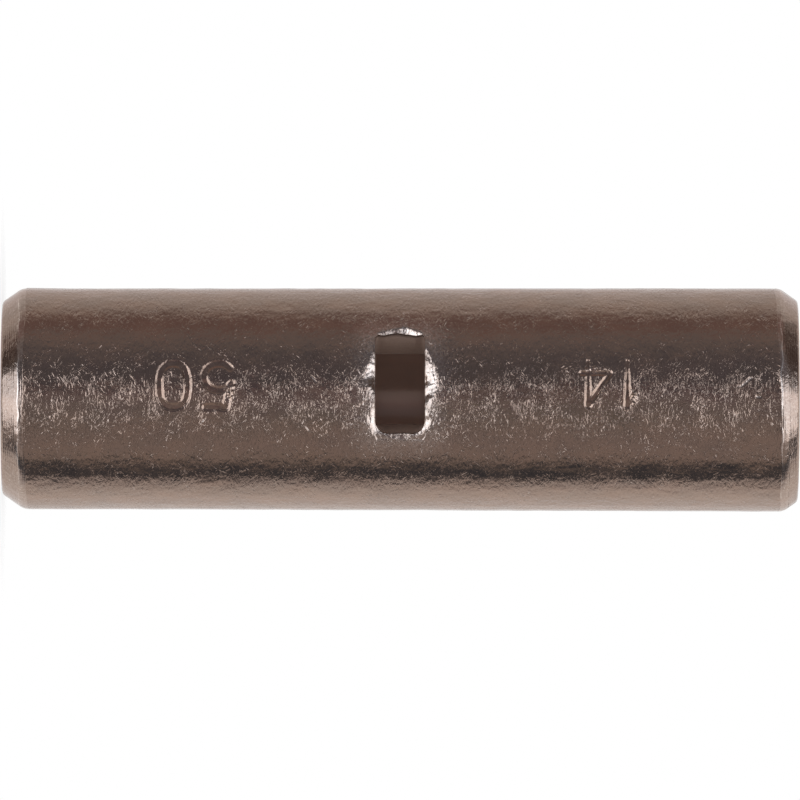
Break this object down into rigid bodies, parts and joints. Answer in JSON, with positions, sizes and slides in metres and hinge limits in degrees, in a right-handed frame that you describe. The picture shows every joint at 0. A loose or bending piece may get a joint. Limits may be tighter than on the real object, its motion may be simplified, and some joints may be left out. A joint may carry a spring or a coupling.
{
  "type": "compression splice",
  "caption": "Straight plated copper tube that joins conductors end to end, with a through bore, bevelled ends and a punched inspection window at mid-length.",
  "frame": {"origin": "centre of the lower end, on the surface it stands on", "axes": "+Z along the barrel's axis, -Y out through the inspection window, X across the window"},
  "size_m": [0.0144, 0.0144, 0.052],
  "materials": {
    "tinned_copper": "tumbled tin plate over copper, satin, worn to copper at the stamped figures and edges"
  },
  "bodies": {
    "root": {"splice_barrel": "tinned_copper"}
  },
  "joints": []
}
